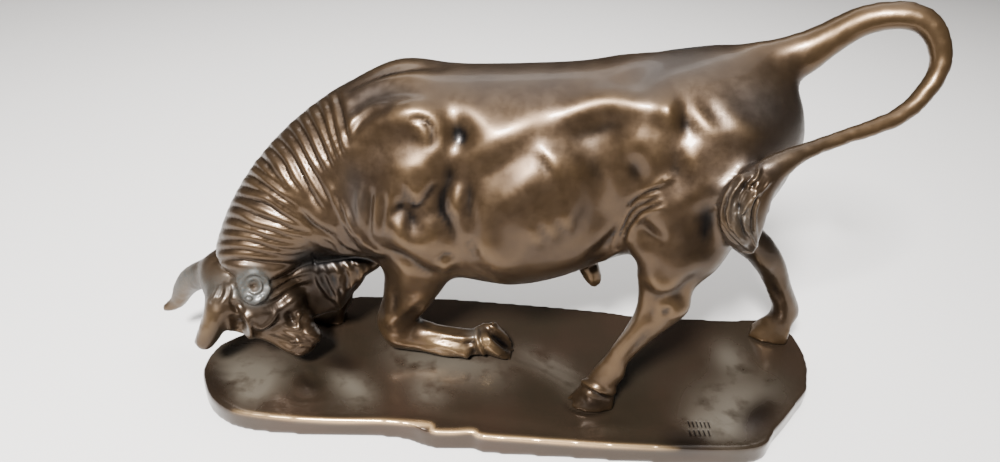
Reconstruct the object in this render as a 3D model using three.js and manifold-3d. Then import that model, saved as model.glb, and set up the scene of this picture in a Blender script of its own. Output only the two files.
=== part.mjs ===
// Ornamental bull on a low base, cast hollow in a bronze-finished metal.
// Millimetres. X runs along the base and the bull faces -X, Y points away from the side that is
// turned to the viewer, Z is up, and the origin is the centre of the base's underside.

import * as THREE from 'three';
import { mergeVertices } from 'three/addons/utils/BufferGeometryUtils.js';
import Module from 'manifold-3d';

// Driving dimensions
const baseLength = 400;
const baseDepth = 144;
const baseThickness = 14;
const seam = 0.3; // the bull was cast on its own and stands on the base
const ground = baseThickness + seam; // height of every sole and of the bent knee
const backHeight = 210; // top of the back over the barrel
const bellyHeight = 77; // lowest point of the barrel
const barrelHalfWidth = 47;
const haunchHalfWidth = 42;
const spineShift = 15; // how far the spine lies behind the base's middle at x = 0
const spineSlope = -0.15; // the bull stands askew on its base
const foldDepth = 1.2; // skin folds round the neck, crest to crease

// How finely the skins are faceted
const trunkSides = 30;
const trunkSteps = 3;
const foldSteps = 4;
const headSides = 16;
const limbSides = 12;
const limbSteps = 2;
const rimPoints = 66;

const bronze = new THREE.MeshStandardMaterial({ color: '#6a4f35', roughness: 0.38, metalness: 0.85 });
const darkBronze = new THREE.MeshStandardMaterial({ color: '#4a3629', roughness: 0.35, metalness: 0.8 });

const wasm = await Module();
wasm.setup();

// The spine's plane: its place and the ways along it and out of it towards the viewer
const spineY = (x) => spineShift + spineSlope * x;
const spineTurn = THREE.MathUtils.radToDeg(Math.atan(-spineSlope));
const ahead = (turn) => new THREE.Vector3(-Math.cos(turn), Math.sin(turn), 0);
const nearSide = (turn) => new THREE.Vector3(-Math.sin(turn), -Math.cos(turn), 0);
const spineNear = nearSide(THREE.MathUtils.degToRad(spineTurn));

// Catmull-Rom blend between b and c
function blendNumber(a, b, c, d, t) {
  const bend = (2 * a - 5 * b + 4 * c - d) * t ** 2 + (3 * b - a - 3 * c + d) * t ** 3;
  return b + ((c - a) * t + bend) / 2;
}

// Stations hold a few named numbers each; stepsAt(i) rings go in after station i
function blendStations(stations, stepsAt) {
  const names = Object.keys(stations[0]);
  const last = stations.length - 1;
  const pick = (i) => stations[Math.min(Math.max(i, 0), last)];
  const blended = [];
  for (let i = 0; i < last; i += 1) {
    const steps = stepsAt(i);
    const around = [i - 1, i, i + 1, i + 2].map(pick);
    for (let step = 0; step < steps; step += 1) {
      const numberAt = (name) => blendNumber(...around.map((s) => s[name]), step / steps);
      blended.push(Object.fromEntries(names.map((name) => [name, numberAt(name)])));
    }
  }
  return [...blended, stations[last]];
}

const middleOf = (station) => new THREE.Vector3(station.x, station.y, station.z);

// The point that closes a skin beyond its first or last ring
function tipBeyond(ring, ringBefore, reach) {
  const way = middleOf(ring).sub(middleOf(ringBefore)).normalize();
  return middleOf(ring).addScaledVector(way, reach);
}

// A solid ready for joining and cutting; faces that point inwards are turned round
function solid(points, faces) {
  let volume = 0;
  for (let i = 0; i < faces.length; i += 3) {
    const [a, b, c] = [points[faces[i]], points[faces[i + 1]], points[faces[i + 2]]];
    volume += a.dot(b.clone().cross(c));
  }
  const triVerts = Uint32Array.from(volume < 0 ? faces.toReversed() : faces);
  const vertProperties = Float32Array.from(points.flatMap((p) => p.toArray()));
  return new wasm.Manifold(new wasm.Mesh({ numProp: 3, vertProperties, triVerts }));
}

// A closed skin over rings of equal point counts, drawn to a point at either end
function skin(rings, firstTip, lastTip) {
  const sides = rings[0].length;
  const points = [...rings.flat(), firstTip, lastTip];
  const first = points.length - 2;
  const last = points.length - 1;
  const lastRing = (rings.length - 1) * sides;
  const faces = [];
  for (let side = 0; side < sides; side += 1) {
    const next = (side + 1) % sides;
    for (let ring = 0; ring < lastRing; ring += sides) {
      const [a, b] = [ring + side, ring + next];
      faces.push(a, a + sides, b, b, a + sides, b + sides);
    }
    faces.push(first, side, next, last, lastRing + next, lastRing + side);
  }
  return solid(points, faces);
}

// A three.js geometry as a solid
function solidOf(geometry) {
  const bare = new THREE.BufferGeometry();
  bare.setAttribute('position', geometry.getAttribute('position'));
  bare.setIndex(geometry.getIndex());
  const merged = mergeVertices(bare);
  const place = merged.getAttribute('position');
  const pointAt = (_, i) => new THREE.Vector3().fromBufferAttribute(place, i);
  return solid(Array.from({ length: place.count }, pointAt), Array.from(merged.getIndex().array));
}

const joined = (solids) => solids.reduce((all, next) => all.add(next));

// A little squarer than an ellipse
const squared = (value) => Math.sign(value) * Math.abs(value) ** 0.92;

// One ring across the trunk, neck or head. `lean` tips its upper side towards the muzzle,
// `turn` swings the way ahead, and `narrow` thins the ring towards its upper side.
function bodyRing(station, sides) {
  const turn = THREE.MathUtils.degToRad(station.turn);
  const lean = THREE.MathUtils.degToRad(station.lean);
  const near = nearSide(turn);
  const upper = ahead(turn).multiplyScalar(Math.sin(lean)).add(new THREE.Vector3(0, 0, Math.cos(lean)));
  return Array.from({ length: sides }, (_, i) => {
    const angle = (2 * Math.PI * i) / sides;
    const rise = squared(Math.sin(angle));
    const across = squared(Math.cos(angle)) * station.side * (1 - station.narrow * rise);
    const reach = rise * (rise > 0 ? station.up : station.down);
    return middleOf(station).addScaledVector(near, across).addScaledVector(upper, reach);
  });
}

// Muscles and bony points: each lifts the skin around a place, or sinks it, along `outward`
function swell(point, outward, bumps) {
  const lifted = point.clone();
  for (const { at, size, lift } of bumps) {
    const away = point.clone().sub(at).divide(size);
    lifted.addScaledVector(outward, lift * Math.exp(-away.lengthSq()));
  }
  return lifted;
}

// A bump beside the spine's plane, on the near side and again on the far side
function onBothSides({ x, aside, z, size, lift }) {
  return [aside, -aside].map((distance) => ({
    at: new THREE.Vector3(x, spineY(x), z).addScaledVector(spineNear, distance),
    size: new THREE.Vector3(...size),
    lift,
  }));
}

function bodyLoft(stations, stepsAt, sides, tipReach, bumps = [], foldAt = () => 0) {
  const rings = blendStations(stations, stepsAt);
  const skinRings = rings.map((station, i) => bodyRing(station, sides).map((point) => {
    const outward = point.clone().sub(middleOf(station)).normalize();
    return swell(point, outward, bumps).addScaledVector(outward, foldAt(i));
  }));
  const firstTip = tipBeyond(rings[0], rings[1], tipReach);
  const lastTip = tipBeyond(rings.at(-1), rings.at(-2), tipReach);
  return skin(skinRings, firstTip, lastTip);
}

// A limb, horn or tail: elliptic rings square to its path, `wide` across the bull and `deep` along it
function limb(stations) {
  const rings = blendStations(stations, () => limbSteps);
  const skinRings = rings.map((station, i) => {
    const before = middleOf(rings[Math.max(i - 1, 0)]);
    const along = middleOf(rings[Math.min(i + 1, rings.length - 1)]).sub(before).normalize();
    const side = spineNear.clone().addScaledVector(along, -spineNear.dot(along)).normalize();
    const front = along.cross(side);
    return Array.from({ length: limbSides }, (_, k) => {
      const angle = (2 * Math.PI * k) / limbSides;
      return middleOf(station)
        .addScaledVector(side, Math.cos(angle) * station.wide)
        .addScaledVector(front, Math.sin(angle) * station.deep);
    });
  });
  const firstTip = tipBeyond(rings[0], rings[1], rings[0].wide / 2);
  const lastTip = tipBeyond(rings.at(-1), rings.at(-2), rings.at(-1).wide / 2);
  return skin(skinRings, firstTip, lastTip);
}

// Trunk from the buttocks to the chest, and the neck down to the poll
function trunkAndNeck() {
  const across = (x, back, belly, side, narrow) => ({
    x,
    y: spineY(x),
    z: (back + belly) / 2,
    up: (back - belly) / 2,
    down: (back - belly) / 2,
    side,
    narrow,
    lean: 0,
    turn: spineTurn,
  });
  const trunk = [
    across(142, backHeight - 7, 154, 16, 0),
    across(131, backHeight + 8, 134, 27, 0.05),
    across(114, backHeight + 17, 114, 37, 0.1),
    across(90, backHeight + 16, 108, haunchHalfWidth, 0.12),
    across(62, backHeight + 12, 104, haunchHalfWidth, 0.1),
    across(32, backHeight + 4, bellyHeight + 10, barrelHalfWidth - 3, 0.1),
    across(2, backHeight, bellyHeight, barrelHalfWidth, 0.14),
    across(-28, backHeight - 3, bellyHeight + 1, barrelHalfWidth, 0.16),
    across(-56, backHeight - 6, bellyHeight + 3, barrelHalfWidth - 3, 0.2),
  ];
  const neck = [
    { x: -88, y: 27, z: 139, up: 56, down: 56, side: 41, narrow: 0.2, lean: 8, turn: spineTurn },
    { x: -109, y: 27, z: 131, up: 49, down: 46, side: 37, narrow: 0.18, lean: 16, turn: 4 },
    { x: -128, y: 24, z: 121, up: 40, down: 38, side: 32, narrow: 0.12, lean: 28, turn: -2 },
    { x: -144, y: 20, z: 109, up: 32, down: 30, side: 28, narrow: 0.06, lean: 43, turn: -8 },
    { x: -156, y: 16, z: 96, up: 26, down: 25, side: 25, narrow: 0, lean: 60, turn: -14 },
    { x: -163, y: 12, z: 83, up: 23, down: 22, side: 22, narrow: 0, lean: 76, turn: -20 },
  ];
  const bumps = [
    { x: -60, aside: 30, z: 182, size: [20, 22, 24], lift: 7 }, // shoulder blade
    { x: -66, aside: 38, z: 138, size: [18, 20, 24], lift: 7 }, // upper arm
    { x: -40, aside: 42, z: 160, size: [8, 20, 30], lift: -3 }, // hollow behind the shoulder
    { x: 60, aside: 34, z: 200, size: [14, 14, 12], lift: 6 }, // hip point
    { x: 106, aside: 34, z: 172, size: [26, 22, 32], lift: 8 }, // haunch
    { x: 48, aside: 44, z: 150, size: [9, 24, 32], lift: -6 }, // hollow flank
    { x: 5, aside: 44, z: 130, size: [34, 20, 34], lift: 3 }, // barrel
  ].flatMap(onBothSides);
  const farBlade = { at: new THREE.Vector3(-74, 44, 200), size: new THREE.Vector3(18, 22, 24), lift: 6 };
  const firstFold = (trunk.length - 1) * trunkSteps + foldSteps;
  const foldAt = (ring) => (ring > firstFold ? (foldDepth / 2) * (-1) ** ring : 0);
  const stepsAt = (i) => (i < trunk.length - 1 ? trunkSteps : foldSteps);
  return bodyLoft([...trunk, ...neck], stepsAt, trunkSides, 8, [...bumps, farBlade], foldAt);
}

function head() {
  const stations = [
    { x: -190, y: 14, z: 78, up: 10, down: 12, side: 17, narrow: 0, lean: 116, turn: -24 },
    { x: -181, y: 10, z: 70, up: 18, down: 20, side: 21, narrow: 0, lean: 128, turn: -22 },
    { x: -166, y: 5, z: 58, up: 20, down: 28, side: 21, narrow: 0, lean: 140, turn: -16 },
    { x: -154, y: 2, z: 50, up: 16, down: 28, side: 16, narrow: 0, lean: 145, turn: -12 },
    { x: -144, y: 0, z: 41, up: 13, down: 20, side: 13, narrow: 0, lean: 145, turn: -10 },
    { x: -136, y: -2, z: 35, up: 12, down: 13, side: 13, narrow: 0, lean: 142, turn: -10 },
    { x: -130, y: -3, z: 30, up: 9, down: 10, side: 10, narrow: 0, lean: 140, turn: -10 },
  ];
  const orbit = (x, y, z) => ({ at: new THREE.Vector3(x, y, z), size: new THREE.Vector3(7, 7, 7), lift: 4 });
  return bodyLoft(stations, () => trunkSteps, headSides, 4, [orbit(-173, -12, 50), orbit(-186, 24, 54)]);
}

const round = (x, y, z, radius) => ({ x, y, z, wide: radius, deep: radius });

function horns() {
  const near = [
    round(-180, 4, 72, 9),
    round(-180, -5, 67, 10),
    round(-182, -11, 59, 8.8),
    round(-187, -14, 48, 7.3),
    round(-193, -15, 38, 5.6),
  ];
  const far = [
    round(-188, 18, 70, 9),
    round(-200, 24, 64, 9.5),
    round(-213, 30, 54, 8.3),
    round(-221, 33, 43, 6.5),
    round(-227, 34, 33, 4.6),
    round(-236, 33, 29, 2.6),
  ];
  return [limb(near), limb(far)];
}

function ears() {
  const near = [round(-156, 2, 72, 8), round(-158, -9, 78, 10), round(-158, -12, 80, 9)];
  const far = [
    { x: -178, y: 26, z: 74, wide: 8, deep: 8 },
    { x: -184, y: 35, z: 78, wide: 8, deep: 9 },
    { x: -188, y: 42, z: 80, wide: 4, deep: 6 },
  ];
  return [limb(near), limb(far)];
}

// The fold of skin that hangs from the throat, between the jaw and the brisket
function dewlap() {
  const top = 82;
  const flap = (x, y, lowest, side) => ({
    x, y, z: top, up: 10, down: top - lowest, side, narrow: 0, lean: 0, turn: 0,
  });
  const stations = [
    flap(-86, 25, 72, 11),
    flap(-96, 23, 67, 10),
    flap(-105, 21, 55, 9),
    flap(-113, 18, 42, 8),
    flap(-121, 16, 40, 8),
    flap(-131, 14, 38, 8),
    flap(-142, 12, 46, 8),
  ];
  return bodyLoft(stations, () => limbSteps, limbSides, 5);
}

// The near foreleg kneels, its shank folded back along the base; the far one stands
function foreLegs() {
  const nearArm = [
    { x: -62, y: 0, z: 150, wide: 14, deep: 20 },
    { x: -61, y: -3, z: 128, wide: 18, deep: 25 },
    { x: -60, y: -4, z: 108, wide: 19, deep: 26 },
    { x: -64, y: 2, z: 80, wide: 16, deep: 20 },
    { x: -72, y: 9, z: 54, wide: 13, deep: 14 },
    { x: -77, y: 13, z: 38, wide: 13, deep: 14 },
    { x: -74, y: 14, z: 28, wide: 12, deep: 13 },
  ];
  const nearShank = [
    { x: -80, y: 14, z: 30, wide: 12, deep: 13 },
    { x: -68, y: 12, z: 28, wide: 11, deep: 12 },
    { x: -52, y: 9, z: 26, wide: 9, deep: 10 },
    { x: -38, y: 7, z: 25, wide: 9.5, deep: 10 },
    { x: -27, y: 6, z: 26, wide: 8.5, deep: 9 },
    { x: -19, y: 6, z: 27, wide: 8.5, deep: 9 },
  ];
  const farLeg = [
    { x: -76, y: 44, z: 146, wide: 14, deep: 18 },
    { x: -76, y: 52, z: 124, wide: 16, deep: 23 },
    { x: -80, y: 56, z: 106, wide: 16, deep: 22 },
    { x: -93, y: 54, z: 82, wide: 13, deep: 16 },
    { x: -108, y: 51, z: 60, wide: 11, deep: 12 },
    { x: -113, y: 50, z: 50, wide: 11, deep: 12 },
    { x: -118, y: 49, z: 37, wide: 8, deep: 8 },
    { x: -121, y: 48, z: 30, wide: 9, deep: 10 },
    { x: -125, y: 47, z: 24, wide: 9, deep: 9 },
  ];
  return [limb(nearArm), limb(nearShank), limb(farLeg)];
}

// The near hind leg is drawn forward under the flank; the far one stretches back
function hindLegs() {
  const near = [
    { x: 92, y: -8, z: 196, wide: 12, deep: 20 },
    { x: 92, y: -14, z: 178, wide: 20, deep: 30 },
    { x: 88, y: -24, z: 154, wide: 23, deep: 34 },
    { x: 84, y: -34, z: 128, wide: 17, deep: 26 },
    { x: 79, y: -37, z: 114, wide: 13, deep: 19 },
    { x: 78, y: -38, z: 101, wide: 11, deep: 15 },
    { x: 78, y: -38, z: 91, wide: 10.5, deep: 14.5 },
    { x: 72, y: -38, z: 78, wide: 8.5, deep: 10 },
    { x: 65, y: -38, z: 65, wide: 7, deep: 7.5 },
    { x: 58, y: -38, z: 51, wide: 6.5, deep: 6.5 },
    { x: 54, y: -37, z: 39, wide: 8, deep: 9 },
    { x: 49, y: -37, z: 30, wide: 8, deep: 8.5 },
    { x: 46, y: -37, z: 24, wide: 9, deep: 9.5 },
  ];
  const far = [
    { x: 100, y: 14, z: 194, wide: 12, deep: 20 },
    { x: 106, y: 20, z: 176, wide: 20, deep: 28 },
    { x: 111, y: 27, z: 152, wide: 22, deep: 30 },
    { x: 120, y: 29, z: 126, wide: 17, deep: 20 },
    { x: 139, y: 28, z: 103, wide: 12, deep: 12.5 },
    { x: 157, y: 28, z: 88, wide: 10, deep: 10.5 },
    { x: 168, y: 28, z: 74, wide: 8.5, deep: 9.5 },
    { x: 177, y: 29, z: 58, wide: 7.5, deep: 8 },
    { x: 184, y: 30, z: 45, wide: 7.5, deep: 8.5 },
    { x: 187, y: 31, z: 36, wide: 8.5, deep: 9.5 },
    { x: 184, y: 31, z: 28, wide: 8, deep: 8.5 },
    { x: 181, y: 31, z: 22, wide: 9, deep: 9.5 },
  ];
  return [limb(near), limb(far)];
}

// A cloven hoof: two claws side by side, each a tapered foot with a flat sole, toe towards +X
function hoof(place) {
  const clawHalfWidth = 5.4;
  const clawHalfLength = 14;
  const clawSpread = 0.9;
  const toeIn = 0.25;
  const height = 13;
  const taper = 0.26;
  const setBack = 5;
  const clawSides = 10;
  const claws = [-1, 1].map((hand) => {
    const rings = [0, 0.5, 1].map((level) => {
      const size = 1 - taper * level;
      return Array.from({ length: clawSides }, (_, i) => {
        const angle = (2 * Math.PI * i) / clawSides;
        const along = Math.cos(angle) * clawHalfLength * size - setBack * level;
        const spread = clawSpread - toeIn * Math.cos(angle);
        const aside = clawHalfWidth * (Math.sin(angle) + hand * spread) * size;
        return new THREE.Vector3(along, aside, height * level);
      });
    });
    const middle = hand * clawHalfWidth * clawSpread;
    const soleMiddle = new THREE.Vector3(0, middle, 0);
    const topMiddle = new THREE.Vector3(-setBack, middle * (1 - taper), height);
    return skin(rings, soleMiddle, topMiddle);
  });
  return joined(claws).transform(place.elements);
}

// A place whose toe and upper side face the ways given
function hoofPlace(at, toe, up) {
  const z = new THREE.Vector3(...up).normalize();
  const x = new THREE.Vector3(...toe);
  x.addScaledVector(z, -x.dot(z)).normalize();
  return new THREE.Matrix4().makeBasis(x, z.clone().cross(x), z).setPosition(...at);
}

function hooves() {
  return [
    hoofPlace([45, -36, ground], [-1, -0.1, 0], [0, 0, 1]),
    hoofPlace([179, 32, ground], [-1, 0.3, 0], [0, 0, 1]),
    hoofPlace([-130, 46, ground], [-1, 0.1, 0], [0, 0, 1]),
    hoofPlace([-8, 6, 26], [0.6, 0, -0.8], [-0.75, 0.35, -0.55]), // the bent foreleg's, sole turned up
  ].map(hoof);
}

// The tail swings up and back in a loop and comes down on the near haunch, its tuft at the end
function tail() {
  return limb([
    { x: 108, y: -2, z: 215, wide: 12, deep: 14 },
    { x: 122, y: -3, z: 219, wide: 11, deep: 14 },
    { x: 134, y: -5, z: 224, wide: 9.5, deep: 12.5 },
    round(146, -8, 234, 9),
    round(158, -13, 245, 7.6),
    round(170, -19, 250, 6.9),
    round(181, -24, 250, 6.4),
    round(189, -28, 243, 5.7),
    round(193, -32, 230, 5.1),
    round(187, -36, 217, 4.8),
    round(175, -40, 206, 4.5),
    round(152, -44, 198, 4),
    round(131, -48, 191, 4.3),
    { x: 117, y: -51, z: 183, wide: 5.5, deep: 8 },
    { x: 107, y: -53, z: 170, wide: 6.5, deep: 12 },
    { x: 105, y: -54, z: 156, wide: 6.5, deep: 13 },
    { x: 109, y: -53, z: 144, wide: 5, deep: 9 },
    { x: 115, y: -51, z: 135, wide: 2.5, deep: 3.5 },
  ]);
}

function sheath() {
  return limb([round(38, 8, 96, 8), round(44, 6, 84, 6.5), round(48, 4, 75, 4)]);
}

function bull() {
  const whole = joined([
    trunkAndNeck(), head(), ...horns(), ...ears(), dewlap(), ...foreLegs(), ...hindLegs(), ...hooves(),
    tail(), sheath(),
  ]);
  // every foot and the bent knee end flat where they stand on the base
  const below = new THREE.BoxGeometry(2 * baseLength, 2 * baseDepth, baseThickness);
  return whole.subtract(solidOf(below.translate(0, 0, ground - baseThickness / 2)));
}

// The base's rim, as shares of its length and depth: an uneven lozenge with two cut-off corners
function rimCurve() {
  const shares = [
    [-1, 0], [-0.98, 0.18], [-0.8, 0.6], [-0.6, 0.95], [-0.3, 1], [0.1, 0.89], [0.4, 0.76], [0.75, 0.71],
    [0.92, 0.7], [0.995, 0.53], [1, 0.14], [0.95, -0.25], [0.82, -0.64], [0.74, -0.89], [0.6, -1],
    [0.3, -0.99], [0, -0.93], [-0.25, -0.85], [-0.5, -0.75], [-0.75, -0.7], [-0.89, -0.57], [-0.97, -0.3],
  ];
  const points = shares.map(([x, y]) => new THREE.Vector2((x * baseLength) / 2, (y * baseDepth) / 2));
  const around = [points.at(-1), ...points, points[0], points[1]];
  return Array.from({ length: rimPoints }, (_, i) => {
    const at = (i / rimPoints) * points.length;
    const corner = Math.floor(at);
    const [a, b, c, d] = around.slice(corner, corner + 4);
    const along = (key) => blendNumber(a[key], b[key], c[key], d[key], at - corner);
    return new THREE.Vector2(along('x'), along('y'));
  });
}

function base() {
  const outline = rimCurve();
  const levels = [
    { z: 0, inset: 1.5 },
    { z: 1.5, inset: 0 },
    { z: baseThickness - 3, inset: 0 },
    { z: baseThickness - 1, inset: 1 },
    { z: baseThickness, inset: 3 },
  ];
  const rings = levels.map(({ z, inset }) => outline.map((p) => {
    const inner = p.clone().setLength(p.length() - inset);
    return new THREE.Vector3(inner.x, inner.y, z);
  }));
  return skin(rings, new THREE.Vector3(0, 0, 0), new THREE.Vector3(0, 0, baseThickness));
}

// A solid as a named mesh
function piece(name, manifold, material) {
  const { vertProperties, triVerts } = manifold.getMesh();
  const geometry = new THREE.BufferGeometry();
  geometry.setAttribute('position', new THREE.BufferAttribute(Float32Array.from(vertProperties), 3));
  geometry.setIndex(new THREE.BufferAttribute(Uint32Array.from(triVerts), 1));
  geometry.computeVertexNormals();
  const mesh = new THREE.Mesh(geometry, material);
  mesh.name = name;
  return mesh;
}

const ornament = new THREE.Group();
ornament.add(piece('bull', bull(), bronze));
ornament.add(piece('base', base(), darkBronze));

export default ornament;
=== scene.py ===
# Looks of the bull ornament. The bull is shaped like clay from its CAD solid: rounded, then worked over
# with marks traced where the photo shows a ridge, fold or hollow. The base is made the same way from its rim.
import math
import bmesh
import bpy
import numpy as np
from mathutils import Matrix, Vector
from mathutils.bvhtree import BVHTree


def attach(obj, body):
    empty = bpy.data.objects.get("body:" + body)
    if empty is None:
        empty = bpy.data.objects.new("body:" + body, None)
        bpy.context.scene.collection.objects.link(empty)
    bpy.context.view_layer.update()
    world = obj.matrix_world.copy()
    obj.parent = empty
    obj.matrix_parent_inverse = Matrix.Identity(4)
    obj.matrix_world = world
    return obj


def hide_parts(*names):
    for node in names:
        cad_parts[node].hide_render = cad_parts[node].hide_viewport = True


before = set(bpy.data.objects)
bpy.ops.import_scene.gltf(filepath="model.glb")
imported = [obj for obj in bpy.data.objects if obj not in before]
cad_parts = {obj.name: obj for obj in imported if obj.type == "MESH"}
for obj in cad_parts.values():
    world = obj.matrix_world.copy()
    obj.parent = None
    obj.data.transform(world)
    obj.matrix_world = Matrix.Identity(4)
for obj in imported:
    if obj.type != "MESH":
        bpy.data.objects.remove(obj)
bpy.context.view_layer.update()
mm = 0.001
chance = np.random.default_rng(7)

# the photo's viewpoint, fitted to the base's rim

viewpoint = {
    "place": (-0.0298, -0.3663, 0.3303),
    "pitch": 30.5,  # degrees below the horizon
    "yaw": -2.6,
    "roll": 2.5,
    "focal": 725,  # in pixels of the picture
    "picture": (1000, 462),
}


def viewAxes():
    # columns: right, up and backward of the camera in the world
    pitch, yaw, roll = (math.radians(viewpoint[key]) for key in ("pitch", "yaw", "roll"))
    tilt = Matrix.Rotation(math.pi / 2 - pitch, 3, "X") @ Matrix.Rotation(roll, 3, "Z")
    return np.array(Matrix.Rotation(yaw, 3, "Z") @ tilt)


def addCamera():
    data = bpy.data.cameras.new("photoCamera")
    data.sensor_width = 36
    data.lens = data.sensor_width * viewpoint["focal"] / viewpoint["picture"][0]
    data.clip_start = 0.01
    camera = bpy.data.objects.new("photoCamera", data)
    camera.matrix_world = Matrix.Translation(viewpoint["place"]) @ Matrix(viewAxes().tolist()).to_4x4()
    bpy.context.scene.collection.objects.link(camera)
    bpy.context.scene.camera = camera


def toPicture(points):
    # pixel of each point, and how many pixels a millimetre takes there
    local = (points - np.array(viewpoint["place"])) @ viewAxes()
    scale = viewpoint["focal"] / -local[:, 2]
    middle = np.array(viewpoint["picture"]) / 2
    pixels = middle + np.stack([local[:, 0], -local[:, 1]], 1) * scale[:, None]
    return pixels, scale * mm


# clay: a mesh with its neighbours, worked on as arrays

def smoothStep(value, low, high):
    share = np.clip((value - low) / (high - low), 0, 1)
    return share * share * (3 - 2 * share)


def pointsOf(mesh):
    points = np.empty(len(mesh.vertices) * 3)
    mesh.vertices.foreach_get("co", points)
    return points.reshape(-1, 3)


def setPoints(mesh, points):
    mesh.vertices.foreach_set("co", points.ravel())
    mesh.update()


def normalsOf(mesh):
    normals = np.empty(len(mesh.vertices) * 3)
    mesh.vertex_normals.foreach_get("vector", normals)
    return normals.reshape(-1, 3)


def spread(mesh, values, passes, strength=0.5):
    # evens values out between neighbouring points
    edges = np.empty(len(mesh.edges) * 2, int)
    mesh.edges.foreach_get("vertices", edges)
    a, b = edges.reshape(-1, 2).T
    count = len(mesh.vertices)
    share = 1 / np.bincount(edges, minlength=count)
    flat = values.reshape(count, -1).copy()
    keep = np.broadcast_to(np.asarray(strength), count)
    for _ in range(passes):
        for column in flat.T:
            around = np.bincount(a, column[b], count) + np.bincount(b, column[a], count)
            column += keep * (around * share - column)
    return flat.reshape(values.shape)


def tree(mesh):
    corners = [tuple(face.vertices) for face in mesh.polygons]
    return BVHTree.FromPolygons([tuple(point) for point in pointsOf(mesh)], corners)


def roundOff(mesh, passes, strength=0.5):
    # smooths facets and corners away without losing volume
    before = pointsOf(mesh)
    points = spread(mesh, before, passes, strength)
    setPoints(mesh, points)
    normals = normalsOf(mesh)
    lost = spread(mesh, ((before - points) * normals).sum(1), passes, strength)
    setPoints(mesh, points + normals * lost[:, None])


def thickness(mesh):
    rays = tree(mesh)
    deep = 60 * mm
    found = np.full(len(mesh.vertices), deep)
    for i, (point, normal) in enumerate(zip(pointsOf(mesh), normalsOf(mesh))):
        inward = Vector(-normal)
        hit = rays.ray_cast(Vector(point) + inward * mm, inward, deep)
        if hit[0] is not None:
            found[i] = hit[3]
    return spread(mesh, found, 10)


def voxelClay(name, sources, size):
    # one even skin round all the sources
    shell = bmesh.new()
    for source in sources:
        shell.from_mesh(source)
    rough = bpy.data.meshes.new(name + "Rough")
    shell.to_mesh(rough)
    shell.free()
    piece = bpy.data.objects.new(name, rough)
    bpy.context.scene.collection.objects.link(piece)
    remesh = piece.modifiers.new("remesh", "REMESH")
    remesh.mode = "VOXEL"
    remesh.voxel_size = size
    ready = piece.evaluated_get(bpy.context.evaluated_depsgraph_get())
    even = bpy.data.meshes.new_from_object(ready)
    piece.modifiers.clear()
    piece.data = even
    bpy.data.meshes.remove(rough)
    return piece


def refine(mesh, wanted):
    # halves the edges between wanted points
    cut = bmesh.new()
    cut.from_mesh(mesh)
    edges = [edge for edge in cut.edges if wanted[edge.verts[0].index] and wanted[edge.verts[1].index]]
    bmesh.ops.subdivide_edges(cut, edges=edges, cuts=1, use_grid_fill=True)
    bmesh.ops.triangulate(cut, faces=[face for face in cut.faces if len(face.verts) > 4])
    cut.to_mesh(mesh)
    cut.free()


# marks: short lines in pixels of the photo that raise or sink the clay they fall on

def mark(height, width, *path, both=False, blunt=False):
    # height and width in mm; both also marks the far side; blunt keeps full height to its ends
    return {"height": height, "width": width, "path": path, "both": both, "blunt": blunt}


def curved(path, step=2.0):
    # the path as closely spaced points on a Catmull-Rom line
    points = np.array(path, float)
    if len(points) == 1:
        return points
    padded = np.vstack([2 * points[0] - points[1], points, 2 * points[-1] - points[-2]])
    found = []
    for a, b, c, d in zip(padded, padded[1:], padded[2:], padded[3:]):
        count = max(int(np.linalg.norm(c - b) / step), 1)
        for t in np.arange(count) / count:
            bend = (2 * a - 5 * b + 4 * c - d) * t ** 2 + (3 * b - a - 3 * c + d) * t ** 3
            found.append(b + ((c - a) * t + bend) / 2)
    return np.array([*found, points[-1]])


def fan(first, last, count, height, width, wobble=0.0, **more):
    # marks spread evenly from one guide line to another
    ends = [np.array(curved(guide, 6.0)) for guide in (first, last)]
    size = max(map(len, ends))
    even = [np.stack([np.interp(np.linspace(0, len(e) - 1, size), range(len(e)), e[:, k]) for k in (0, 1)], 1)
            for e in ends]
    marks = []
    for share in np.linspace(0, 1, count):
        drift = np.cumsum(chance.normal(0, wobble, (size, 2)), 0) if wobble else 0
        path = even[0] * (1 - share) + even[1] * share + drift
        lift = height * (chance.uniform(0.6, 1.3) if wobble else 1)
        marks.append(mark(lift, width, *map(tuple, path), **more))
    return marks


def field(marks, pixels, scale, weight):
    # the sum of all marks at every point, in mm
    total = np.zeros(len(pixels))
    for one in marks:
        path = curved(one["path"], min(2.0, 0.7 * one["width"]))
        margin = 2.4 * one["width"] * scale.max()
        low, high = path.min(0) - margin, path.max(0) + margin
        near = np.flatnonzero((pixels > low).all(1) & (pixels < high).all(1) & (weight > 0))
        share = np.linspace(0, 1, len(path)) if len(path) > 1 else np.array([0.5])
        strength = 1.0 if one["blunt"] else np.sqrt(4 * share * (1 - share))
        across = (pixels[near, None] - path[None]) / (scale[near] * one["width"])[:, None, None]
        profile = strength * np.exp(-(across ** 2).sum(2))
        total[near] += one["height"] * profile.max(1, initial=0) * weight[near]
    return total


spine = {"shift": 15, "slope": -0.15}  # mm; where the bull's median plane crosses the base


def acrossSpine(points):
    # signed distance from the spine's plane, negative on the near side, and the plane's normal
    normal = np.array([-spine["slope"], 1, 0]) / math.hypot(spine["slope"], 1)
    return (points - np.array([0, spine["shift"] * mm, 0])) @ normal, normal


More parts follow.
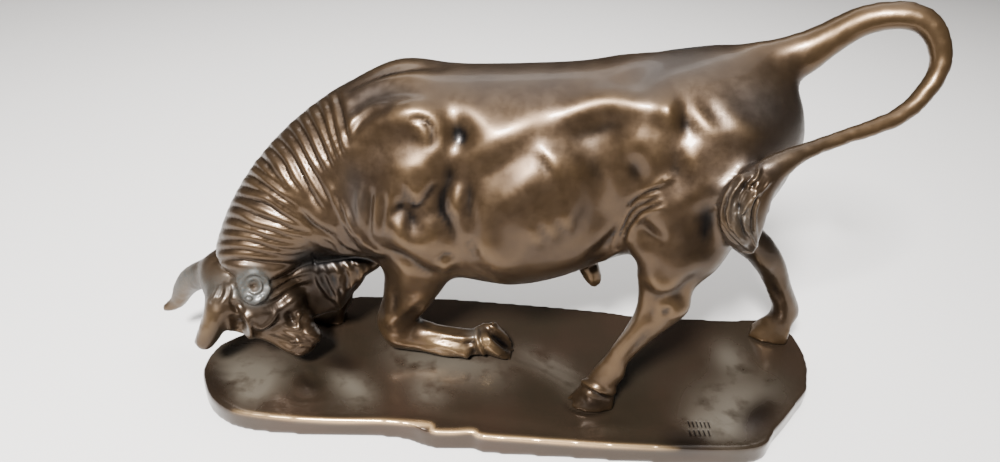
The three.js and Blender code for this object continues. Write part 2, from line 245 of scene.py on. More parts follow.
def sight(mesh):
    # for each point: its pixel, the scale there and how well it is seen from the photo's viewpoint
    points, normals = pointsOf(mesh), normalsOf(mesh)
    eye = np.array(viewpoint["place"])
    toEye = eye - points
    toEye /= np.linalg.norm(toEye, axis=1)[:, None]
    facing = smoothStep((toEye * normals).sum(1), -0.05, 0.2)
    rays = tree(mesh)
    for i in np.flatnonzero(facing):
        way = Vector(toEye[i])
        if rays.ray_cast(Vector(points[i]) + way * 1.5 * mm, way, 0.6)[0] is not None:
            facing[i] = 0
    return (*toPicture(points), spread(mesh, facing, 2))


def farSight(mesh):
    # the same for the far side, as if it were seen in a mirror on the spine's plane
    points, normals = pointsOf(mesh), normalsOf(mesh)
    far, across = acrossSpine(points)
    mirrored = points - 2 * far[:, None] * across
    turned = normals - 2 * (normals @ across)[:, None] * across
    toEye = np.array(viewpoint["place"]) - mirrored
    toEye /= np.linalg.norm(toEye, axis=1)[:, None]
    facing = smoothStep((toEye * turned).sum(1), 0, 0.3) * smoothStep(far, 2 * mm, 8 * mm)
    return (*toPicture(mirrored), facing)


def work(mesh, marks):
    # raises and sinks the clay along its normals
    lift = field(marks, *sight(mesh))
    both = [one for one in marks if one["both"]]
    if both:
        lift += field(both, *farSight(mesh))
    setPoints(mesh, pointsOf(mesh) + normalsOf(mesh) * (lift * mm)[:, None])
    return lift


# the bull

bullSettings = {
    "voxel": 2.4 * mm,
    "rounding": 8,  # passes over all the clay
    "moreRounding": 36,  # passes over its thick parts only
    "sole": 14.3 * mm,  # height of every sole above the shelf
}

neckRidges = (  # from the poll up to the shoulder
    ((213, 266), (235, 267), (262, 270), (285, 268)),
    ((212, 256), (240, 253), (265, 256), (290, 258), (310, 254)),
    ((215, 245), (240, 245), (262, 249), (290, 253), (308, 249)),
    ((217, 235), (232, 235), (256, 238), (272, 244), (292, 247), (306, 247)),
    ((220, 223), (240, 226), (258, 231), (274, 236), (292, 240)),
    ((223, 211), (240, 213), (258, 224), (282, 230), (300, 236), (320, 238)),
    ((227, 200), (245, 204), (268, 214), (290, 223), (303, 228)),
    ((231, 190), (250, 194), (270, 198), (284, 209), (295, 217), (304, 226)),
    ((237, 178), (249, 182), (260, 189), (277, 199), (290, 206)),
    ((243, 168), (257, 172), (270, 182), (287, 196), (303, 207)),
    ((250, 157), (259, 166), (272, 176)),
    ((259, 147), (268, 153), (277, 163), (284, 177), (296, 191)),
    ((268, 139), (280, 151), (289, 163), (295, 177), (306, 192)),
    ((279, 130), (291, 142), (300, 156), (307, 171), (314, 185), (322, 199), (333, 217), (341, 226)),
    ((289, 121), (298, 134), (305, 147), (312, 160), (318, 172)),
    ((299, 113), (306, 124), (313, 138), (320, 155), (329, 171)),
    ((309, 105), (316, 119), (322, 131), (328, 145), (336, 165)),
    ((320, 98), (327, 112), (331, 132), (336, 148), (341, 162)),
    ((330, 92), (334, 106), (338, 124), (342, 141), (347, 155)),
    ((340, 87), (345, 100), (349, 115), (350, 134)),
)

neckFolds = [
    *(mark(1.0, 3.0, *ridge, both=True) for ridge in neckRidges),
    *(fan(upper, lower, 3, -1.5, 1.5, both=True)[1] for upper, lower in zip(neckRidges, neckRidges[1:])),
    mark(2.2, 2.2, (328, 184), (336, 200), (346, 219), (356, 234), (366, 244), (384, 254)),
    mark(1.8, 1.8, (340, 200), (349, 216), (358, 231), (372, 243)),
    mark(-2.0, 1.4, (334, 192), (343, 210), (352, 226), (364, 240)),
    mark(2.0, 4.5, (309, 205), (320, 218), (332, 226), (340, 224)),
    mark(-1.8, 2.0, (300, 212), (314, 226), (330, 234)),
]

shoulder = [
    mark(4.0, 9, (342, 158), (354, 143), (368, 130), (386, 119), (404, 113), (419, 113), (432, 120), (438, 134),
         (436, 148), (426, 158), both=True),  # ridge of the shoulder blade, hooked at its end
    mark(-2.2, 1.9, (413, 120), (423, 121), (431, 129), (434, 141), (430, 147)),
    mark(1.0, 4.0, (419, 126), (426, 138)),
    mark(1.6, 3.0, (348, 132), (358, 117), (370, 108), (384, 104)),
    mark(-1.8, 3.2, (351, 140), (362, 124), (376, 114), (394, 108)),
    mark(-3.0, 2.6, (347, 90), (370, 78), (395, 70), (420, 66), (450, 64)),
    mark(1.4, 4.0, (350, 96), (372, 85), (397, 77), (425, 73)),
    mark(-1.8, 6.0, (352, 112), (368, 99), (392, 92), (420, 94)),
    mark(1.6, 5.0, (349, 98), (369, 90), (395, 84), (430, 80)),
    mark(-2.6, 9, (444, 104), (452, 120), (453, 140), (446, 160), both=True),
    mark(-2.0, 11, (372, 152), (392, 142), (410, 150)),
    mark(2.4, 8, (398, 168), (414, 168), (430, 170), both=True),
    mark(2.4, 6, (408, 184), (417, 194), (425, 184)),
    mark(-2.4, 3.0, (402, 186), (409, 198), (417, 206), (425, 197), (434, 183)),
    mark(2.0, 3.0, (362, 186), (361, 206), (363, 230)),
    mark(2.0, 3.0, (378, 196), (376, 214), (377, 234)),
    mark(2.2, 3.2, (392, 193), (388, 211), (386, 232)),
    mark(-2.4, 3.4, (369, 190), (368, 226)),
    mark(-2.4, 3.4, (383, 196), (381, 228)),
    mark(-3.4, 6, (400, 202), (395, 216)),
    mark(2.6, 4.5, (398, 218), (402, 236)),
    mark(-2.6, 5, (410, 212), (412, 228)),
    mark(2.8, 7, (412, 237), (424, 238), (436, 243), both=True),
    *fan(((421, 219), (436, 239)), ((435, 214), (447, 232)), 5, 0.7, 1.3),
    mark(-1.8, 4.5, (449, 166), (449, 182), (443, 197), (442, 209), (447, 219), (452, 232), (458, 250), both=True),
    mark(3.4, 12, (392, 240), (412, 249), (438, 259), both=True),
    mark(3.0, 4.5, (446, 262)),
    mark(-1.8, 1.8, (439, 257), (446, 253), (454, 257)),
    mark(-3.0, 3.2, (386, 247), (404, 254), (421, 266), (436, 274)),
]

barrel = [
    mark(2.6, 9, (446, 106), (466, 112), (480, 122)),
    mark(3.6, 12, (453, 152), (470, 152), (487, 147), (504, 138), (522, 130), (545, 121), both=True),
    mark(-2.6, 7, (462, 138)),
    mark(-3.6, 11, (466, 182), (496, 170), (518, 158), (538, 144), (558, 132), both=True),
    mark(3.6, 15, (496, 212), (511, 192), (523, 175), (534, 163), (548, 154), both=True),
    mark(1.4, 5, (541, 147), (552, 160), (564, 178), both=True),
    mark(-1.2, 3, (541, 158), (549, 174)),
    mark(1.0, 4, (560, 149), (572, 164), (580, 184), both=True),
    mark(-4.2, 11, (580, 138), (594, 160), (601, 188), (594, 220), (578, 240), (556, 254), (524, 264), both=True),
    mark(2.8, 7, (611, 160), (614, 182), (610, 206), both=True),
    mark(1.0, 3.8, (546, 222), (556, 240), both=True),
    mark(1.0, 3.8, (563, 218), (573, 234), both=True),
    mark(0.9, 3.8, (530, 228), (541, 247), both=True),
    mark(-0.8, 2.8, (539, 224), (549, 244)),
    mark(-0.8, 2.8, (555, 220), (566, 238)),
    mark(3.0, 8, (477, 220), (483, 243), (495, 259), (513, 269), both=True),
    mark(-2.0, 6, (472, 216), (476, 240)),
    mark(2.8, 5, (456, 188), (457, 212), both=True),
    mark(-2.4, 5, (467, 188), (468, 216)),
    mark(-1.2, 1.6, (466, 240), (474, 258)),
    mark(-1.0, 1.6, (471, 238), (481, 258)),
    mark(0.8, 1.4, (470, 265), (486, 274), (504, 282), (520, 286)),
]

haunch = [
    mark(3.6, 8, (560, 121), (577, 112), (600, 104), (622, 103), (646, 105), both=True),
    mark(-3.0, 10, (568, 134), (602, 128), (642, 126), both=True),
    mark(-2.6, 9, (636, 94), (646, 72), (664, 60), (686, 55), (704, 53), both=True),
    mark(1.8, 18, (672, 84), (700, 88), both=True),
    mark(4.2, 5.5, (667, 110), (670, 116), both=True),
    mark(1.8, 4.5, (672, 122), (678, 136), both=True),
    mark(-2.4, 7, (678, 116), (684, 134), both=True),
    mark(1.8, 6, (690, 110), (704, 122), (720, 138), both=True),
    mark(-1.6, 5, (704, 106), (724, 124), both=True),
    mark(2.2, 7, (722, 112), (738, 124), (754, 136), both=True),
    mark(-1.6, 9, (730, 98), (764, 116), both=True),
    mark(2.6, 9, (624, 148), (640, 134), both=True),
    mark(-2.2, 7, (634, 160), (638, 180)),
    mark(2.4, 12, (650, 168), (664, 150), both=True),
    mark(-2.2, 6, (676, 146), (677, 172), both=True),
    mark(2.4, 8, (684, 148), (692, 166), both=True),
    mark(-4.0, 4, (590, 264), (607, 249), (621, 232), (629, 213), (638, 198), both=True),
    mark(4.0, 9, (640, 217), (655, 211), (672, 204), (690, 196), (716, 184), both=True),
    mark(-3.2, 4.5, (641, 223), (650, 234), (662, 240), both=True),
    mark(2.6, 4.5, (632, 243), (640, 257)),
    mark(2.6, 18, (672, 252), (684, 262), both=True),
    mark(-2.4, 9, (708, 214), (706, 244)),
]

flankFolds = [
    mark(2.0, 1.7, (612, 250), (620, 228), (630, 209), (643, 199), (658, 194)),
    mark(2.0, 1.7, (618, 246), (627, 225), (638, 209), (660, 200)),
    mark(2.0, 1.7, (626, 243), (633, 226), (645, 213), (662, 207)),
    mark(1.6, 1.9, (632, 202), (643, 191), (657, 183), (674, 177)),
    mark(-1.6, 1.2, (615, 248), (624, 226), (634, 209), (658, 197)),
    mark(-1.6, 1.2, (622, 244), (630, 226), (641, 211), (661, 204)),
    mark(-1.4, 1.2, (628, 205), (641, 194), (660, 187)),
    mark(1.0, 1.2, (600, 262), (612, 254), (622, 250)),
]

hindLegs = [
    mark(-3.2, 4.5, (641, 287), (656, 298), (673, 297), (688, 287), (703, 274)),
    mark(2.0, 5, (650, 276), (660, 288), (674, 288)),
    mark(1.8, 3, (658, 308), (668, 303), (675, 308), (672, 318)),
    mark(-1.4, 2, (665, 312)),
    mark(-1.6, 3, (652, 306), (650, 318)),
    mark(1.8, 2.6, (691, 290), (688, 306), (676, 317)),
    mark(2.0, 3.6, (640, 324), (625, 343), (611, 361)),
    mark(-1.4, 2.4, (648, 332), (634, 350), (622, 366)),
    mark(1.0, 1.4, (625, 334), (612, 353), (598, 369)),
    mark(1.6, 3, (628, 372), (622, 378)),
    mark(1.8, 1.8, (584, 382), (597, 389), (609, 393), (615, 390), blunt=True),
    mark(-1.6, 1.6, (582, 386), (596, 394), (609, 398)),
    mark(1.6, 4, (757, 260), (768, 268)),
    mark(-1.4, 3, (770, 278), (778, 300)),
    mark(1.6, 3, (781, 284), (792, 308)),
    mark(1.4, 2.4, (762, 284), (770, 300)),
    mark(1.4, 2, (744, 326), (758, 320), (770, 319)),
    mark(-1.4, 3, (744, 250), (754, 262)),
]

foreleg = [
    mark(1.2, 3, (391, 284), (389, 300), (388, 318)),
    mark(-1.2, 2.4, (396, 292), (394, 312)),
    mark(1.6, 5, (405, 264), (405, 290)),
    mark(1.8, 3, (400, 314), (412, 303), (426, 297)),
    mark(-2.6, 5, (405, 324), (418, 314)),
    mark(2.0, 4, (389, 321)),
    mark(1.2, 1.8, (379, 326), (388, 338), (400, 343), (419, 346)),
    mark(-1.4, 1.6, (420, 318), (432, 329), (449, 333), (471, 337)),
    mark(2.0, 2.2, (430, 331), (449, 336), (471, 339), blunt=True),
    mark(2.2, 2.6, (430, 343), (449, 346), (465, 355)),
    mark(-1.8, 1.8, (436, 339), (455, 342), (466, 344)),
    mark(1.6, 1.8, (419, 347), (439, 353), (456, 359), (468, 360)),
    mark(2.0, 2.6, (467, 352), (468, 359)),
    mark(-3.2, 2.6, (467, 344), (474, 341)),
    mark(-2.4, 2.6, (474, 349), (474, 357)),
    mark(1.4, 1.6, (477, 329), (477, 340), (482, 350), (488, 359), blunt=True),
    mark(-1.4, 1.2, (480, 331), (480, 341), (485, 351), (490, 358), blunt=True),
    mark(1.2, 1.4, (486, 334), (493, 343), (504, 352), blunt=True),
    mark(1.4, 1.4, (481, 327), (487, 325), (498, 331), (511, 342), (517, 350), blunt=True),
    mark(-3.0, 2.6, (490, 331), (500, 338), (511, 348)),
]

face = [
    mark(2.2, 3, (267, 278), (285, 268), (299, 262)),
    mark(2.4, 3, (268, 291), (280, 282), (295, 274), (312, 269)),
    mark(2.2, 2.6, (269, 299), (285, 289), (297, 282), (309, 279)),
    mark(-1.8, 1.8, (267, 285), (285, 275), (301, 266)),
    mark(-1.8, 1.8, (269, 295), (284, 284), (299, 277)),
    mark(-3.0, 3, (266, 306), (280, 300), (290, 291), (304, 286)),
    mark(-3.4, 8, (253, 288)),  # the ear: a flat ring with folds inside
    mark(2.0, 1.6, (240, 287), (243, 279), (251, 274), (260, 275), (267, 282), (267, 291), (261, 299), (250, 300),
         (242, 295), (240, 287), blunt=True),
    mark(1.6, 1.1, (246, 286), (248, 281), (255, 279), (261, 283), (261, 290), (255, 294), (248, 292)),
    mark(-1.8, 1.4, (250, 287), (257, 286)),
    mark(1.2, 1.0, (244, 297), (255, 300), (264, 294)),
    mark(2.4, 2.6, (243, 311), (249, 321), (252, 331), (247, 337), (239, 338)),
    mark(-5.5, 4.0, (236, 320), (240, 330)),
    mark(1.4, 2, (230, 320), (232, 331), (238, 337)),
    mark(-2.4, 1.8, (232, 303), (238, 313)),
    mark(-1.8, 1.4, (237, 302), (244, 310)),
    mark(-1.4, 1.4, (253, 319), (255, 331)),
    mark(3.2, 6, (291, 296), (296, 300)),
    mark(2.0, 10, (254, 312), (266, 311)),
    mark(1.8, 1.8, (253, 323), (262, 327), (272, 320), (277, 311)),
    mark(-2.0, 2.2, (256, 331), (267, 331), (280, 322)),
    mark(1.8, 2.6, (252, 335), (272, 342), (293, 351), (303, 355)),
    mark(-1.4, 2, (262, 335), (280, 341), (294, 346)),
    mark(1.8, 1.6, (300, 312), (297, 320), (300, 329)),
    mark(-3.6, 3, (290, 315), (293, 323)),
    mark(2.0, 4, (308, 316)),
    mark(1.6, 1.5, (285, 326), (299, 328)),
    mark(1.8, 1.8, (284, 332), (296, 337), (301, 345)),
    mark(1.0, 1.0, (290, 343), (300, 340), (312, 343)),
    mark(1.0, 1.0, (293, 348), (303, 345), (314, 347)),
    mark(2.4, 4, (307, 331), (319, 338)),
    mark(-2.2, 1.6, (312, 350), (324, 342)),
    mark(0.8, 1.0, (305, 333), (319, 342)),
    *fan(((216, 286), (212, 296), (208, 303)), ((231, 284), (230, 294), (226, 304)), 7, 1.0, 1.1, wobble=0.9),
    *fan(((230, 281), (240, 277)), ((232, 290), (241, 283)), 4, 1.2, 1.1, wobble=0.5),
]

dewlapStrands = [
    *fan(((318, 268), (328, 288), (344, 308)), ((352, 262), (366, 268), (350, 288)), 9, 1.6, 1.9, wobble=1.2),
    *fan(((314, 243), (334, 253), (362, 258)), ((344, 214), (360, 238), (384, 257)), 9, 1.1, 1.5, wobble=0.8),
    mark(-3.0, 3.5, (300, 266), (330, 264), (362, 260), (386, 262)),
    mark(-1.0, 0.9, (313, 254), (314, 264), blunt=True),
]

tuft = [
    *fan(((746, 171), (730, 186), (722, 203), (722, 222), (732, 238), (744, 246)),
         ((772, 180), (761, 198), (757, 214), (757, 232), (757, 249)), 13, 1.5, 0.9, wobble=0.55),
    mark(2.4, 1.2, (748, 174), (735, 189), (727, 202), (729, 216)),
    mark(2.4, 1.2, (760, 168), (756, 178), (748, 184), (750, 190)),
    mark(2.4, 1.2, (757, 191), (747, 203), (742, 217), (748, 235)),
    mark(2.0, 1.1, (751, 200), (744, 210), (737, 214)),
    mark(-2.2, 1.1, (751, 178), (744, 189), (738, 200), (740, 214)),
    mark(-2.4, 1.2, (753, 197), (746, 208), (741, 222), (746, 238)),
    mark(-2.4, 1.2, (764, 190), (755, 204), (751, 222), (754, 240)),
    mark(-1.8, 1.0, (741, 180), (729, 197), (725, 214), (731, 230)),
]

fineAreas = (  # boxes in the photo where the clay gets a finer skin, and how often it is halved
    (1, 190, 75, 392, 312),
    (1, 190, 300, 350, 362),
    (1, 590, 180, 690, 275),
    (1, 465, 320, 520, 362),
    (1, 560, 375, 620, 412),
    (2, 714, 163, 780, 254),
    (2, 190, 262, 330, 358),
)


def shapeBull():
    piece = voxelClay("bullCast", [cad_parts["bull"].data], bullSettings["voxel"])
    mesh = piece.data
    roundOff(mesh, bullSettings["rounding"])
    thick = smoothStep(thickness(mesh), 28 * mm, 50 * mm)
    roundOff(mesh, bullSettings["moreRounding"], 0.5 * thick)
    print("clay", len(mesh.vertices), "points")
    for turn in (1, 2):
        pixels, scale, seen = sight(mesh)
        wanted = np.zeros(len(pixels), bool)
        for often, left, top, right, bottom in fineAreas:
            if often >= turn:
                wanted |= (pixels > (left, top)).all(1) & (pixels < (right, bottom)).all(1) & (seen > 0.1)
        refine(mesh, wanted)
        roundOff(mesh, 3)
    print("refined to", len(mesh.vertices), "points")
    work(mesh, [*shoulder, *barrel, *haunch])
    work(mesh, [*neckFolds, *flankFolds, *hindLegs, *foreleg])
    work(mesh, [*face, *dewlapStrands, *tuft])
    points = pointsOf(mesh)
    points[:, 2] = np.maximum(points[:, 2], bullSettings["sole"])
    setPoints(mesh, points)
    mesh.shade_smooth()
    print("bull shaped,", sum(len(face.vertices) - 2 for face in mesh.polygons), "triangles")
    return piece


# the base

baseSettings = {
    "thickness": 14 * mm,
    "voxel": 1.4 * mm,
    "cornerRounding": 8,
    "leftRounding": 14,  # the left end is rounder than the rest
}

rim = ((-198, -13), (-200, -1), (-198, 9), (-193, 19), (-160, 46), (-120, 69), (-94, 72), (-52, 71), (-8, 67),
       (36, 62), (72, 57), (90, 53), (126, 51), (159, 50), (182, 51), (196, 41), (200, 23), (197, 2), (192, -11),
       (187, -22), (176, -34), (164, -47), (154, -57), (149, -64), (143, -69), (132, -72), (116, -72.5), (70, -71),
       (24, -68), (-20, -65), (-26, -62), (-50, -61.5), (-64, -56), (-82, -53), (-128, -52), (-152, -50),
       (-172, -45), (-188, -32))

rimEdge = ((232, 411), (260, 415), (300, 419), (340, 421), (380, 421), (412, 423), (430, 425), (434, 431),
           (452, 432), (472, 431), (482, 436), (520, 439), (560, 442), (600, 445), (640, 447), (680, 449))

baseMarks = [
    mark(0.9, 1.5, *rimEdge),
    mark(0.5, 1.5, (680, 449), (720, 449), (752, 447)),
    mark(-0.8, 5, (240, 404), (300, 411), (380, 414), (430, 416), (520, 430), (600, 436), (700, 440)),
    mark(0.9, 4, (296, 372), (304, 384), (316, 392)),
    mark(0.9, 3, (308, 368), (314, 378)),
    mark(-0.9, 4, (288, 388), (300, 396), (322, 394)),
    mark(0.8, 14, (262, 380)),
    mark(0.7, 18, (360, 380), (420, 372)),
    mark(-0.6, 12, (350, 400), (420, 402)),
    mark(0.8, 12, (500, 404), (560, 420)),
    mark(-0.8, 7, (430, 420), (470, 424)),
    mark(1.0, 4, (560, 430), (572, 431), (584, 430)),
    mark(1.0, 4, (596, 428), (612, 427), (626, 428)),
    mark(0.7, 20, (700, 380), (740, 390)),
    mark(-0.6, 14, (640, 400), (680, 410)),
    mark(1.0, 8, (745, 424), (765, 410)),
    mark(-1.0, 1.6, (562, 400), (572, 409), (590, 413), (608, 409), (617, 398)),
    *fan(((500, 358), (540, 376), (575, 398)), ((520, 344), (560, 368), (590, 382)), 8, 0.18, 1.2, wobble=0.6),
    *fan(((214, 392), (244, 400)), ((206, 352), (232, 350)), 9, 0.2, 1.6, wobble=0.7),
]

# two rows of shallow strokes where the photo shows an inscription
strokeRows = (((689, 424), (709, 425), 6), ((690, 433), (709, 433), 5))
inscription = [
    mark(-0.5, 0.4, (x - 0.9, y - 2.5), (x + 0.9, y + 2.5), blunt=True)
    for (x1, y1), (x2, y2), count in strokeRows
    for x, y in zip(np.linspace(x1, x2, count), np.linspace(y1, y2, count))
]
inscribed = (684, 418, 713, 439)  # box in the photo that gets a finer skin


def closedCurve(points, step):
    # a closed Catmull-Rom line through the points
    around = [*points[-2:], *points, *points[:2]]
    line = curved(around, step)
    start, stop = (np.abs(line - np.array(place)).sum(1) for place in (points[0], points[-1]))
    first = int(start.argmin())
    last = first + int(np.abs(line[first + 5:] - np.array(points[0])).sum(1).argmin()) + 5
    return line[first:last]


def shapeBase():
    outline = closedCurve(rim, 3.0) * mm
    slab = bmesh.new()
    low = [slab.verts.new((x, y, 0)) for x, y in outline]
    high = [slab.verts.new((x, y, baseSettings["thickness"])) for x, y in outline]
    slab.faces.new(low[::-1])
    slab.faces.new(high)
    for i in range(len(outline)):
        j = (i + 1) % len(outline)
        slab.faces.new((low[i], low[j], high[j], high[i]))
    bmesh.ops.recalc_face_normals(slab, faces=slab.faces)
    rough = bpy.data.meshes.new("slab")
    slab.to_mesh(rough)
    slab.free()
    piece = voxelClay("baseCast", [rough], baseSettings["voxel"])
    bpy.data.meshes.remove(rough)
    mesh = piece.data
    roundOff(mesh, baseSettings["cornerRounding"])
    points = pointsOf(mesh)
    left = 1 - smoothStep(points[:, 0], -175 * mm, -120 * mm)
    upper = smoothStep(points[:, 2], 5 * mm, 8 * mm)
    setPoints(mesh, spread(mesh, points, baseSettings["leftRounding"], 0.5 * left * upper))
    work(mesh, baseMarks)
    left, top, right, bottom = inscribed
    for _ in range(3):
        pixels, scale, seen = sight(mesh)
        refine(mesh, (pixels > (left, top)).all(1) & (pixels < (right, bottom)).all(1) & (seen > 0.1))
    work(mesh, inscription)
    points = pointsOf(mesh)
    points[:, 2] = np.maximum(points[:, 2], 0)
    setPoints(mesh, points)
    mesh.shade_smooth()
    print("base shaped,", sum(len(face.vertices) - 2 for face in mesh.polygons), "triangles")
    return piece


# paint: shares from 0 to 1 stored at the points, read by the materials

def paint(mesh, name, shares):
    layer = mesh.attributes.new(name, "FLOAT", "POINT")
    layer.data.foreach_set("value", np.clip(shares, 0, 1))


def relief(mesh, passes):
    # how far each point stands out of its surroundings, in mm
    points = pointsOf(mesh)
    return ((points - spread(mesh, points, passes)) * normalsOf(mesh)).sum(1) / mm


def paintBull(mesh):
    pixels, scale, seen = sight(mesh)
    fine, broad = relief(mesh, 6), relief(mesh, 60)
    # painted shade: dark patches over parts that lie in shadow, among them the far hind leg, the face, the throat
    # behind the cheek and the dewlap
    shadeMarks = [
        mark(0.6, 8, (652, 338), (640, 368), (620, 386)),
        mark(0.7, 7, (574, 402), (592, 404), (610, 400)),
        mark(0.6, 16, (765, 250), (776, 290), (786, 330)),
        mark(0.6, 14, (240, 318), (270, 316), (300, 308)),
        mark(0.8, 16, (312, 268), (326, 284), (340, 300)),
        mark(0.6, 7, (290, 262), (320, 258), (352, 258), (384, 264)),
        mark(0.4, 18, (790, 100), (796, 140), (780, 180)),
        mark(0.6, 8, (214, 344), (222, 326)),
        mark(0.5, 12, (700, 250), (712, 280)),
        mark(0.7, 5, (496, 338), (510, 350)),
    ]
    shade = field(shadeMarks, pixels, scale, seen)
    # darker in creases and hollows, as patina and as painted shade, plus the painted shade of the marks above
    paint(mesh, "hollowAndShade", smoothStep(-fine, 0.08, 0.6) * 0.6 + smoothStep(-broad, 0.2, 2.5) * 0.5 + shade)
    paint(mesh, "worn", smoothStep(fine, 0.08, 0.5) * 0.6 + smoothStep(broad, 0.3, 2.5) * 0.5)
    upward = smoothStep(normalsOf(mesh)[:, 2], 0.35, 0.9)
    # duller grey patches on the back, rump, shoulder front and tuft, partly dust and partly painted sheen; every
    # upward face a little greyer
    dustAndSheenMarks = [
        mark(0.9, 12, (640, 92), (652, 72), (680, 60), (720, 56), both=True),
        mark(0.9, 14, (735, 100), (770, 108), (790, 130), both=True),
        mark(0.6, 10, (430, 80), (520, 78), (600, 76), both=True),
        mark(0.7, 7, (352, 112), (370, 96), (410, 92), both=True),
        mark(0.8, 6, (352, 170), (356, 200), (352, 222)),
        mark(0.5, 8, (732, 176), (722, 200)),
        mark(0.6, 7, (742, 168), (780, 152)),
    ]
    dustAndSheen = field(dustAndSheenMarks, pixels, scale, seen) + field(dustAndSheenMarks, *farSight(mesh))
    paint(mesh, "dustAndSheen", 0.6 * dustAndSheen + 0.1 * upward)
    bareMarks = [
        mark(1.0, 7, (166, 302), (176, 282), (190, 268)),
        mark(0.8, 9, (196, 272), (206, 288), (224, 280)),
        mark(1.4, 5, (243, 280), (254, 275), (264, 283), (262, 296), (250, 299), (242, 290), blunt=True),
        mark(0.8, 5, (300, 260), (311, 256)),
        mark(0.7, 4, (470, 335), (478, 330)),
        mark(0.6, 8, (735, 240), (745, 225), (735, 200)),
    ]
    paint(mesh, "bare", field(bareMarks, pixels, scale, seen))
    gildMarks = [
        mark(0.6, 5, (210, 312), (204, 335)),
        mark(1.0, 6, (430, 340), (462, 350)),
        mark(1.0, 5, (482, 340), (495, 352)),
    ]
    paint(mesh, "gild", field(gildMarks, pixels, scale, seen))


def paintBase(mesh):
    pixels, scale, seen = sight(mesh)
    fine = relief(mesh, 5)
    # painted shade: the muzzle's shadow on the top, and darker stretches along the front edge and at both ends
    shadeMarks = [
        mark(0.8, 7, (668, 440), (686, 443), (706, 442)),
        mark(0.7, 8, (748, 424), (768, 408)),
        mark(0.6, 6, (330, 356), (352, 366)),
        mark(0.5, 5, (298, 382), (316, 388)),
        mark(0.5, 10, (220, 398), (206, 370)),
    ]
    carved = field(inscription, pixels, scale, seen)
    shade = field(shadeMarks, pixels, scale, seen)
    # darker in hollows and in the carved strokes, plus the painted shade of the marks above
    paint(mesh, "hollowAndShade", smoothStep(-fine, 0.1, 0.4) + shade + smoothStep(-carved, 0.1, 0.4))
    paint(mesh, "gild", field([mark(1.0, 1.3, *rimEdge)], pixels, scale, seen))
    # duller tan-grey patches on the top and the left end, partly dust and partly painted sheen, thinner under the
    # painted shade
    dustAndSheenMarks = [
        mark(1.0, 14, (218, 366), (250, 372), (280, 370)),
        mark(0.8, 10, (240, 390), (262, 386)),
        mark(1.0, 9, (336, 374), (352, 386), (368, 398)),
        mark(0.9, 14, (392, 352), (430, 362), (480, 366), (500, 376)),
        mark(0.7, 8, (418, 392), (440, 394)),
        mark(0.6, 8, (520, 352), (560, 372), (575, 390)),
        mark(0.8, 10, (722, 352), (738, 366)),
        mark(0.8, 16, (700, 404), (740, 400), (768, 396)),
        mark(0.9, 9, (690, 426), (716, 430), (740, 424)),
    ]
    paint(mesh, "dustAndSheen", field(dustAndSheenMarks, pixels, scale, seen) - 0.9 * shade)


# materials

def linear(hexCode):
    # an sRGB hex colour as the linear values the nodes want
    parts = [int(hexCode[i:i + 2], 16) / 255 for i in (1, 3, 5)]
    return (*((part / 12.92 if part <= 0.04045 else ((part + 0.055) / 1.055) ** 2.4) for part in parts), 1)


def perSize(size):
    # noise scale that gives patches of this size
    return 1 / size


def addNode(tree, kind, settings=None, links=None):
    made = tree.nodes.new("ShaderNode" + kind)
    for key, value in (settings or {}).items():
        if isinstance(key, str) and hasattr(made, key):
            setattr(made, key, value)
        else:
            made.inputs[key].default_value = value
    for key, source in (links or {}).items():
        tree.links.new(source, made.inputs[key])
    return made


def stored(tree, name):
    return addNode(tree, "Attribute", {"attribute_name": name}).outputs["Fac"]


def noise(tree, size, detail=4.0, roughness=0.55, low=0.35, high=0.65):
    # patches of a real size, as shares from 0 to 1
    place = addNode(tree, "TexCoord").outputs["Object"]
    made = addNode(tree, "TexNoise", {"Scale": perSize(size), "Detail": detail, "Roughness": roughness},
                   {"Vector": place})
    spreadOut = addNode(tree, "MapRange", {"From Min": low, "From Max": high}, {"Value": made.outputs[0]})
    return spreadOut.outputs[0]


def blend(tree, share, first, second):
    # from the first colour to the second; either may be a hex colour or a socket
    made = addNode(tree, "Mix", {"data_type": "RGBA"}, {0: share})
    for slot, colour in ((6, first), (7, second)):
        if isinstance(colour, str):
            made.inputs[slot].default_value = linear(colour)
        else:
            tree.links.new(colour, made.inputs[slot])
    return made.outputs[2]


def times(tree, first, second):
    made = addNode(tree, "Math", {"operation": "MULTIPLY"})
    for slot, value in enumerate((first, second)):
        if isinstance(value, (int, float)):
            made.inputs[slot].default_value = value
        else:
            tree.links.new(value, made.inputs[slot])
    return made.outputs[0]


def lerp(tree, share, low, high):
    return addNode(tree, "MapRange", {"To Min": low, "To Max": high}, {"Value": share}).outputs[0]


def newMaterial(name):
    made = bpy.data.materials.new(name)
    made.use_nodes = True
    made.node_tree.nodes.clear()
    return made


bronzeLook = {
    "gold": "#4c3b28",
    "brown": "#2d221a",
    "rubbed": "#6a563d",
    "recessAndShade": "#0d0a09",
    "dustAndSheen": "#2b2f33",
    "bare": "#2b2d2b",
    "roughness": (0.3, 0.4),
    "grain": 0.5 * mm,
}


